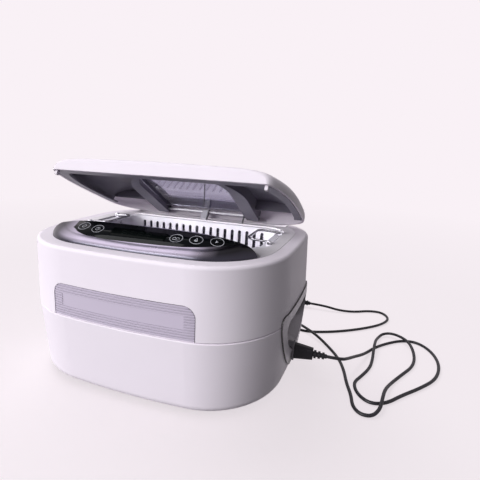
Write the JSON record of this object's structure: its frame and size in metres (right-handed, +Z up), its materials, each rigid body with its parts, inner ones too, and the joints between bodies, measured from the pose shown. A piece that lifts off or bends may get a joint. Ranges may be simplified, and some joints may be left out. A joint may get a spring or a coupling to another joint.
{
  "type": "ultrasonic jewellery cleaner",
  "caption": "Countertop ultrasonic cleaner: oval white housing, steel tank with a lift-out basket, hinged domed lid with a window, sloping touch panel, plugged-in mains cord.",
  "frame": {"origin": "centre of the housing's footprint, on the surface it stands on", "axes": "+X towards the side with the mains inlet, -Y towards the front with the touch panel, +Z up"},
  "size_m": [0.4606, 0.3272, 0.2303],
  "materials": {
    "white_shell": "satin white",
    "label_plate": "ribbed pale grey",
    "deck_plastic": "satin white",
    "panel_metallic": "metallic grey lacquer",
    "panel_glass": "gloss black",
    "stainless": "brushed",
    "wire": "polished",
    "basket_plastic": "satin white",
    "liner": "dark grey",
    "smoked_window": "clear smoked",
    "black_rubber": "matt",
    "silicone": "matt",
    "steel": "plain",
    "aluminium": "machined",
    "ceramic": "ceramic",
    "circuit_board": "green laminate",
    "coil": "taped winding",
    "black_plastic": "black",
    "flex": "black flex",
    "pins": "nickel plated"
  },
  "bodies": {
    "base": {"lower_shell": "white_shell", "upper_shell": "white_shell", "label_band": "label_plate", "grip_left": "white_shell", "grip_right": "white_shell", "rubber_feet": "black_rubber", "housing_screws": "steel", "deck": "deck_plastic", "control_bezel": "panel_metallic", "touch_glass": "panel_glass", "display_module": "black_plastic", "touch_board": "circuit_board", "tank": "stainless", "tank_gasket": "silicone", "horn_left": "aluminium", "horn_right": "aluminium", "piezo_stack_left": "ceramic", "piezo_stack_right": "ceramic", "back_mass_left": "steel", "back_mass_right": "steel", "clamp_bolt_left": "steel", "clamp_bolt_right": "steel", "driver_board": "circuit_board", "transformer": "coil", "heat_sink": "aluminium", "fan_frame": "black_plastic", "ac_inlet": "black_plastic", "hinge_clip": "deck_plastic", "hinge_stay": "wire", "power_connector": "black_rubber", "strain_relief": "black_rubber", "cord": "flex", "mains_plug": "black_rubber", "plug_pins": "pins"},
    "lid": {"lid_shell": "white_shell", "lid_liner_left": "liner", "lid_liner_right": "liner", "window_frame": "liner", "window_pane": "smoked_window", "hinge_rod": "wire", "lid_bumpers": "deck_plastic"},
    "basket": {"basket": "basket_plastic"},
    "left_handle": {"basket_handle_left": "wire"},
    "right_handle": {"basket_handle_right": "wire"},
    "fan": {"fan_rotor": "black_plastic"}
  },
  "joints": [
    {"name": "lid_hinge", "type": "hinge", "parent": "base", "child": "lid", "pos_m": [0, 0.083, 0.159], "axis": [-1, 0, 0], "range_deg": [-18.7, 51.7]},
    {"name": "basket_lift", "type": "slide", "parent": "base", "child": "basket", "axis": [0, 0, 1], "range_m": [0, 0.01]},
    {"name": "left_handle_hinge", "type": "hinge", "parent": "basket", "child": "left_handle", "pos_m": [-0.1132, 0.0145, 0.1516], "axis": [0, -1, 0], "range_deg": [0, 90]},
    {"name": "right_handle_hinge", "type": "hinge", "parent": "basket", "child": "right_handle", "pos_m": [0.1132, 0.0145, 0.1516], "axis": [0, 1, 0], "range_deg": [0, 90]},
    {"name": "fan_spin", "type": "hinge", "parent": "base", "child": "fan", "pos_m": [0.078, 0.092, 0.052], "axis": [0, 1, 0], "continuous": true}
  ]
}
